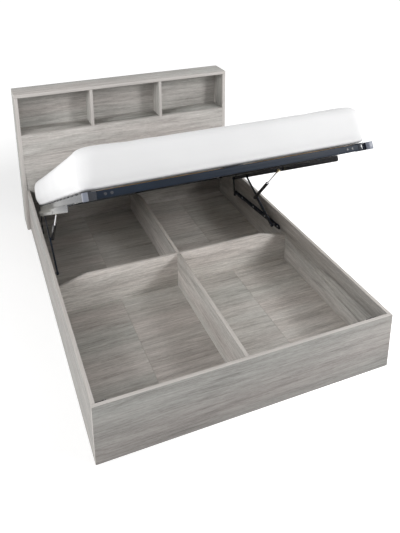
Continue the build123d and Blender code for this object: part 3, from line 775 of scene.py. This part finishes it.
class BED_OT_board_fittings(bpy.types.Operator):
    """Turns the cam bolts, cam locks and wood screws"""

    bl_idname = "bed.board_fittings"
    bl_label = "Board fittings"

    def execute(self, context):
        steel = context.scene.bed_steel
        zinc = stock("zinc_plate", plated, steel.zinc)
        dress("cam_bolts", steel.bar_round, zinc)
        self.locks(zinc)
        self.screws(zinc)
        return {"FINISHED"}

    def locks(self, zinc):
        """Cam locks with a cross recess in the face that shows."""
        boxes = solids_of("cam_locks")
        radius = (boxes[0][1].z - boxes[0][0].z) / 2
        depth = boxes[0][1].x - boxes[0][0].x
        rings = [(radius * 0.96, -depth), (radius, -depth + 0.0006), (radius, -0.0005), (radius * 0.94, 0.0)]
        recess = [(radius * 0.62, 0.0), (radius * 0.56, -0.003)]
        meshes = []
        for side in (1, -1):
            disc = turned_piece("cam_lock_disc", rings, recess, "cross")
            disc.transform(Matrix.Rotation(-side * math.pi / 2, 4, "Y"))
            places = [
                ((low.x if side > 0 else high.x), (low.y + high.y) / 2, (low.z + high.z) / 2)
                for low, high in boxes
                if low.x * side > 0
            ]
            meshes.append(pieces_at("cam_locks_side", disc, places, zinc))
        show(joined("cam_locks_piece", meshes), "cam_locks", zinc)

    def screws(self, zinc):
        """Screws of the base bars and rest brackets."""
        boxes = solids_of("rail_screws")
        shank, head, rise, meshes = 0.002, 0.005, 0.0025, []
        for side in (1, -1):
            near = [b for b in boxes if b[0].x * side > 0]
            for key in sorted({round(b[0].x if side > 0 else b[1].x, 4) for b in near}):
                places, seat, tip = [], key + side * rise, 0.0
                for low, high in near:
                    inner, outer = (low.x, high.x) if side > 0 else (high.x, low.x)
                    if round(inner, 4) == key:
                        places.append((seat, (low.y + high.y) / 2, (low.z + high.z) / 2))
                        tip = abs(outer - seat)
                screw = fastener("rail_screw", shank, tip, head, rise, "cross")
                screw.transform(Matrix.Rotation(-side * math.pi / 2, 4, "Y"))
                meshes.append(pieces_at("rail_screws_side", screw, places, zinc))
        show(joined("rail_screws_piece", meshes), "rail_screws", zinc)


class BED_OT_rests(bpy.types.Operator):
    """Finishes the rest brackets and their rubber pads"""

    bl_idname = "bed.rests"
    bl_label = "Rests"

    def execute(self, context):
        steel = context.scene.bed_steel
        dress("rest_brackets", steel.bar_round, frame_coat())
        dress("rest_pads", 0.002, stock("pad_rubber", moulded, steel.rubber, 0.6))
        return {"FINISHED"}


class BED_OT_platform(bpy.types.Operator):
    """Rounds and coats the platform's tubes, sleeves and caps"""

    bl_idname = "bed.platform"
    bl_label = "Platform frame"

    def execute(self, context):
        steel = context.scene.bed_steel
        coats = {
            "platform_rail_right": rail_coat(),
            "platform_rail_left": rail_coat(),
            # Painted light: the foot rail gets a paler, bluer copy of the frame's coat
            "platform_foot_rail": stock("foot_coat", painted_steel, steel.foot, 0.42, 0.12),
            "platform_head_rail": frame_coat(),
            "platform_centre_rail": frame_coat(),
        }
        for name, coat in coats.items():
            dress(name, steel.tube_round, coat)
        dress("corner_sleeves", steel.bar_round, stock("sleeve_coat", painted_steel, steel.coat, 0.10, 0.6))
        dress("tube_end_caps", 0.0012, stock("cap_plastic", moulded, steel.cap, 0.38))
        self.bolts(context)
        return {"FINISHED"}

    def bolts(self, context):
        """Button-head bolts on the foot rail and under the side tubes."""
        dark = stock("dark_bolt", painted_steel, [0.035, 0.037, 0.045], 0.3, 0.5)
        boxes = solids_of("foot_rail_bolts", level=True)
        low, high = boxes[0]
        shank, head, rise = 0.003, 0.006, 0.002
        bolt = fastener("foot_bolt", shank, high.y - low.y - rise, head, rise, "hex")
        bolt.transform(Matrix.Rotation(math.pi / 2, 4, "X"))
        places = [((b[0].x + b[1].x) / 2, b[0].y + rise, (b[0].z + b[1].z) / 2) for b in boxes]
        show(pieces_at("foot_rail_bolts_piece", bolt, places, dark, RAISED), "foot_rail_bolts", dark)
        rise, meshes = 0.004, []
        boxes = solids_of("top_bar_bolts", level=True)
        for key in sorted({round(b[0].z, 4) for b in boxes}):
            same = [b for b in boxes if round(b[0].z, 4) == key]
            bolt = fastener("bar_bolt", shank, same[0][1].z - key - rise, head, rise, "hex")
            bolt.transform(Matrix.Rotation(math.pi, 4, "X"))
            places = [((b[0].x + b[1].x) / 2, (b[0].y + b[1].y) / 2, key + rise) for b in same]
            meshes.append(pieces_at("bar_bolts", bolt, places, dark, RAISED))
        show(joined("top_bar_bolts_piece", meshes), "top_bar_bolts", dark)


class BED_OT_slats(bpy.types.Operator):
    """Lays both rows of sprung slats in their holders"""

    bl_idname = "bed.slats"
    bl_label = "Slats"

    def execute(self, context):
        s = context.scene.bed_slats
        step = (s.long - 2 * s.first) / (s.count - 1)
        first = (0.0, s.foot + s.first, 0.0)
        wood = bare_wood("slat_wood", s.wood, s.glue, (LIFT_ANGLE, 0, 0), PLY)
        plastic = stock("holder_plastic", moulded, s.plastic, 0.4)
        for side, sign in (("right", 1), ("left", -1)):
            name = "slats_" + side
            show(row_of(name + "_piece", self.slat(s, sign), s.count, first, (0.0, step, 0.0), wood), name, wood)
        for name in ("slat_holders_right", "slat_holders_left", "slat_holders_centre"):
            holder = self.holder(name)
            mesh = row_of(name + "_piece", holder, s.count, (0.0, 0.0, 0.0), (0.0, step, 0.0), plastic)
            show(mesh, name, plastic)
        return {"FINISHED"}

    def slat(self, s, sign):
        """One bowed slat with eased edges, at Y nought."""
        bm = bmesh.new()
        across = [(-0.5, 0.30), (-0.5, 0.70), (-0.47, 0.92), (-0.42, 1.0), (0.42, 1.0), (0.47, 0.92)]
        across += [(0.5, 0.70), (0.5, 0.30), (0.47, 0.08), (0.42, 0.0), (-0.42, 0.0), (-0.47, 0.08)]
        rings, steps = [], 16
        for k in range(steps + 1):
            share = k / steps
            x = s.inner + (s.outer - s.inner) * share
            rise = s.bow * (1 - (2 * share - 1) ** 2)
            rings.append([bm.verts.new((sign * x, a * s.width, s.under + rise + b * s.thick)) for a, b in across])
        for a, b in zip(rings, rings[1:]):
            for k in range(len(across)):
                n = (k + 1) % len(across)
                bm.faces.new((a[k], a[n], b[n], b[k]))
        bm.faces.new(rings[0])
        bm.faces.new(rings[-1])
        bmesh.ops.recalc_face_normals(bm, faces=bm.faces)
        return mesh_from(bm, "slat")

    def holder(self, name):
        """The footmost holder of a row, level, with softened edges."""
        bm = merged(name)
        bmesh.ops.transform(bm, matrix=RAISED.inverted(), verts=bm.verts)
        low = min(v.co.y for v in bm.verts)
        far = [v for v in bm.verts if v.co.y > low + 0.1]
        bmesh.ops.delete(bm, geom=far, context="VERTS")
        soften(bm, 0.0011, 3.0)
        return mesh_from(bm, name + "_one")


class BED_OT_lift(bpy.types.Operator):
    """Finishes the base bars, links, top bars and pins"""

    bl_idname = "bed.lift"
    bl_label = "Lift links"

    def execute(self, context):
        steel = context.scene.bed_steel
        for side in ("right", "left"):
            for name in ("base_bar_", "front_link_", "rear_link_", "top_bar_"):
                dress(name + side, steel.bar_round, rail_coat() if name == "top_bar_" else frame_coat())
        pins = stock("pin_steel", painted_steel, [0.045, 0.046, 0.055], 0.28, 0.8)
        for name in ("base_pivot_pins", "platform_pins", "strut_stud_right", "strut_stud_left"):
            dress(name, steel.bar_round, pins, 1.0)
        return {"FINISHED"}


class BED_OT_struts(bpy.types.Operator):
    """Finishes the gas struts"""

    bl_idname = "bed.struts"
    bl_label = "Gas struts"

    def execute(self, context):
        steel = context.scene.bed_steel
        gloss = stock("strut_paint", painted_steel, [0.010, 0.010, 0.012], 0.24, 0.6)
        rod = stock("rod_chrome", plated, [0.74, 0.75, 0.77], 0.16)
        brass = stock("rod_end_brass", plated, steel.brass, 0.36)
        for side in ("right", "left"):
            dress("strut_cylinder_" + side, 0.0012, gloss, 0.5)
            dress("strut_eye_" + side, 0.0006, gloss, 1.0)
            dress("strut_rod_" + side, 0.0005, rod, 0.5)
            dress("rod_end_" + side, 0.0007, brass, 1.0)
        return {"FINISHED"}


class BED_OT_mattress(bpy.types.Operator):
    """Fills out the mattress's cover with a cloth simulation"""

    bl_idname = "bed.mattress"
    bl_label = "Mattress"

    def execute(self, context):
        s = context.scene.bed_mattress
        mesh = self.plain(s)
        mesh = self.filled(context, s, mesh)
        mesh.transform(RAISED)
        cover = stock("mattress_cover", knitted, s.cloth)
        piece = show(mesh, "mattress", cover)
        return {"FINISHED"}

    def plain(self, s):
        """A box of even cells, rounded along every edge and crowned."""
        a, b = s.wide / 2, s.long / 2
        bm = bmesh.new()
        bmesh.ops.create_cube(bm, size=1.0)
        for vert in bm.verts:
            vert.co = Vector((2 * a * vert.co.x, s.middle + 2 * b * vert.co.y, s.under + s.tall * (vert.co.z + 0.5)))
        mesh = bpy.data.meshes.new("mattress_form")
        bm.to_mesh(mesh)
        bm.free()
        carrier = placed("mattress_form", mesh)
        remesh = carrier.modifiers.new("Even cells", "REMESH")
        remesh.mode = "VOXEL"
        remesh.voxel_size = s.cell
        even = baked(carrier)
        for vert in even.vertices:
            vert.co = self.shaped(s, vert.co, a, b)
        return smoothed(even)

    def shaped(self, s, point, a, b):
        """Rounds a box's point in plan and in section, shapes the sides and crowns the top."""
        x, y, z = point.x, point.y - s.middle, point.z - s.under
        core = Vector((min(max(x, s.corner - a), a - s.corner), min(max(y, s.corner - b), b - s.corner)))
        out = Vector((x, y)) - core
        reach = out.length
        way = out / reach if reach > 1e-6 else Vector((0.0, 0.0))
        reach *= max(abs(way.x), abs(way.y))
        up = min(max(z / s.tall, 0.0), 1.0)
        half = s.tall / 2
        r = s.base_round + (s.top_round - s.base_round) * up * up * (3 - 2 * up)
        u, w = 1 - (s.corner - reach) / r, 1 - (half - abs(z - half)) / r
        if u > 0 and w > 0:
            turn = max(u, w) / math.hypot(u, w)
            reach = s.corner - r * (1 - u * turn)
            z = half + math.copysign(half - r * (1 - w * turn), z - half)
        reach += s.barrel * 4 * up * (1 - up) * min(1.0, max(0.0, reach / s.corner))
        x, y = core.x + way.x * reach, core.y + way.y * reach
        u, v = x / a, y / b
        x -= s.draw * u * max(0.0, 1 - v * v)
        y -= s.draw * v * max(0.0, 1 - u * u)
        z += s.crown * max(0.0, 1 - u * u) * max(0.0, 1 - v * v) * up
        return Vector((x, y + s.middle, z + s.under))

    def filled(self, context, s, mesh):
        """Runs the cloth with a little pressure and holds each point near its start."""
        scene = context.scene
        piece = placed("mattress_cloth", mesh)
        rest = [v.co.copy() for v in mesh.vertices]
        group = piece.vertex_groups.new(name="Held")
        floor = s.under + 0.3 * s.base_round
        group.add([v.index for v in mesh.vertices if v.co.z < floor], 1.0, "REPLACE")
        cloth = piece.modifiers.new("Cover", "CLOTH")
        knit = cloth.settings
        knit.quality = 5
        knit.mass = 0.3
        knit.tension_stiffness = 25
        knit.compression_stiffness = 25
        knit.bending_stiffness = 2.0
        knit.vertex_group_mass = "Held"
        knit.use_pressure = True
        knit.uniform_pressure_force = s.pressure
        knit.effector_weights.gravity = 0
        cloth.point_cache.frame_start = 1
        cloth.point_cache.frame_end = CLOTH_FRAMES
        for number in range(1, CLOTH_FRAMES + 1):
            scene.frame_set(number)
        found = baked(piece)
        scene.frame_set(1)
        for vert, start in zip(found.vertices, rest):
            move = vert.co - start
            if move.length > s.swell:
                move = move * (s.swell / move.length)
            if start.z + move.z < s.under:
                move.z = s.under - start.z
            vert.co = start + move
        smooth = placed("mattress_smooth", found)
        even = smooth.modifiers.new("Even", "SMOOTH")
        even.factor = 0.5
        even.iterations = 3
        finer = smooth.modifiers.new("Finer", "SUBSURF")
        finer.levels = 1
        finer.render_levels = 1
        return smoothed(baked(smooth))


class BED_OT_stage(bpy.types.Operator):
    """Sets the floor, the light and the camera"""

    bl_idname = "bed.stage"
    bl_label = "Stage"

    def execute(self, context):
        look = context.scene.bed_stage
        self.floor(context, look)
        self.light(context, look)
        self.camera(context, look)
        context.scene.view_settings.view_transform = "Standard"
        return {"FINISHED"}

    def floor(self, context, look):
        """A wide pale floor that keeps a soft shadow."""
        mesh = bpy.data.meshes.new("studio_floor")
        corners = [(x * FLOOR_REACH, y * FLOOR_REACH, 0) for x, y in ((-1, -1), (1, -1), (1, 1), (-1, 1))]
        mesh.from_pydata(corners, [], [(0, 1, 2, 3)])
        plane = placed("studio_floor", mesh)
        material, tree, shader = new_material("studio_floor")
        source = on_object(tree)
        cloud = noise(tree, source, scale=3.0)
        pale = wide(look.floor)
        tint = mixed(tree, cloud, pale, wide([0.985 * c for c in look.floor]))
        fill(tree, shader, {"Base Color": tint, "Roughness": 0.9, "Specular IOR Level": 0.1})
        glow = node(tree, "ShaderNodeEmission", {"Color": (1, 1, 1, 1)})
        away = node(tree, "ShaderNodeVectorMath", {0: source}, operation="LENGTH").outputs["Value"]
        across = node(tree, "ShaderNodeSeparateXYZ", {0: source}).outputs["X"]
        beyond = spread(tree, away, 2.0, 3.4)
        aside = spread(tree, across, -0.7, 0.5)
        far = maths(tree, "MAXIMUM", beyond, aside)
        level = maths(tree, "MULTIPLY_ADD", far, look.glow - look.glow_near, look.glow_near)
        fill(tree, glow, {"Strength": maths(tree, "MULTIPLY", self.seen(tree), level)})
        both = node(tree, "ShaderNodeAddShader", {0: shader.outputs[0], 1: glow.outputs[0]})
        tree.links.new(both.outputs[0], node_of(tree, "OUTPUT_MATERIAL").inputs[0])
        mesh.materials.append(material)

    def seen(self, tree):
        """One where a ray comes from the camera, a reflection or glass."""
        path = node(tree, "ShaderNodeLightPath").outputs
        both = maths(tree, "MAXIMUM", path["Is Camera Ray"], path["Is Glossy Ray"])
        return maths(tree, "MAXIMUM", both, path["Is Transmission Ray"])

    def light(self, context, look):
        """White surroundings and three softboxes."""
        world = bpy.data.worlds.new("studio")
        context.scene.world = world
        world.use_nodes = True
        tree = world.node_tree
        back = node_of(tree, "BACKGROUND")
        level = maths(tree, "MULTIPLY_ADD", self.seen(tree), 1.0 - look.sky, look.sky)
        fill(tree, back, {"Color": (1.0, 1.0, 1.0, 1.0), "Strength": level})
        for name, lamp in LAMPS.items():
            self.lamp(name, *lamp)

    def lamp(self, name, place, aim, size, power):
        """A square area lamp that looks at a point."""
        data = bpy.data.lights.new(name, "AREA")
        data.shape = "SQUARE"
        data.size = size
        data.energy = power
        lamp = placed(name, data)
        lamp.location = place
        lamp.rotation_euler = (Vector(aim) - Vector(place)).to_track_quat("-Z", "Y").to_euler()

    def camera(self, context, look):
        """The photograph's viewpoint."""
        data = bpy.data.cameras.new("view")
        data.lens = look.lens
        data.sensor_width = 36.0
        data.sensor_fit = "AUTO"
        data.shift_y = look.shift
        data.clip_end = 100.0
        camera = placed("view", data)
        level = math.cos(look.dip)
        ahead = Vector((math.sin(look.turn) * level, math.cos(look.turn) * level, -math.sin(look.dip)))
        right = Vector((math.cos(look.turn), -math.sin(look.turn), 0.0))
        up = right.cross(ahead)
        c, s = math.cos(look.roll), math.sin(look.roll)
        right, up = c * right + s * up, c * up - s * right
        camera.matrix_world = Matrix.Translation(look.camera) @ Matrix((right, up, -ahead)).transposed().to_4x4()
        context.scene.camera = camera


class BED_PT_panel(bpy.types.Panel):
    """Lists the pieces and their sizes"""

    bl_label = "Ottoman bed"
    bl_space_type = "VIEW_3D"
    bl_region_type = "UI"
    bl_category = "Bed"

    def draw(self, context):
        for operator, group in STEPS:
            box = self.layout.box()
            box.operator(operator)
            if group:
                settings = getattr(context.scene, group)
                for key in settings.bl_rna.properties.keys():
                    if key not in ("rna_type", "name"):
                        box.prop(settings, key)


STEPS = (
    ("bed.boards", "bed_board"),
    ("bed.board_fittings", ""),
    ("bed.rests", ""),
    ("bed.platform", "bed_steel"),
    ("bed.slats", "bed_slats"),
    ("bed.lift", ""),
    ("bed.struts", ""),
    ("bed.mattress", "bed_mattress"),
    ("bed.stage", "bed_stage"),
)

GROUPS = {
    "bed_board": BoardLook,
    "bed_steel": SteelLook,
    "bed_slats": SlatShape,
    "bed_mattress": MattressShape,
    "bed_stage": StageLook,
}

CLASSES = (
    *GROUPS.values(),
    BED_OT_boards,
    BED_OT_board_fittings,
    BED_OT_rests,
    BED_OT_platform,
    BED_OT_slats,
    BED_OT_lift,
    BED_OT_struts,
    BED_OT_mattress,
    BED_OT_stage,
    BED_PT_panel,
)


def register():
    """Adds the classes and the scene's settings."""
    for entry in CLASSES:
        bpy.utils.register_class(entry)
    for key, group in GROUPS.items():
        setattr(bpy.types.Scene, key, PointerProperty(type=group))


def unregister():
    """Takes them away again."""
    for key in GROUPS:
        delattr(bpy.types.Scene, key)
    for entry in reversed(CLASSES):
        bpy.utils.unregister_class(entry)


def main():
    """Builds every piece."""
    register()
    for operator, _ in STEPS:
        family, name = operator.split(".")
        getattr(getattr(bpy.ops, family), name)()


if __name__ == "__main__":
    main()
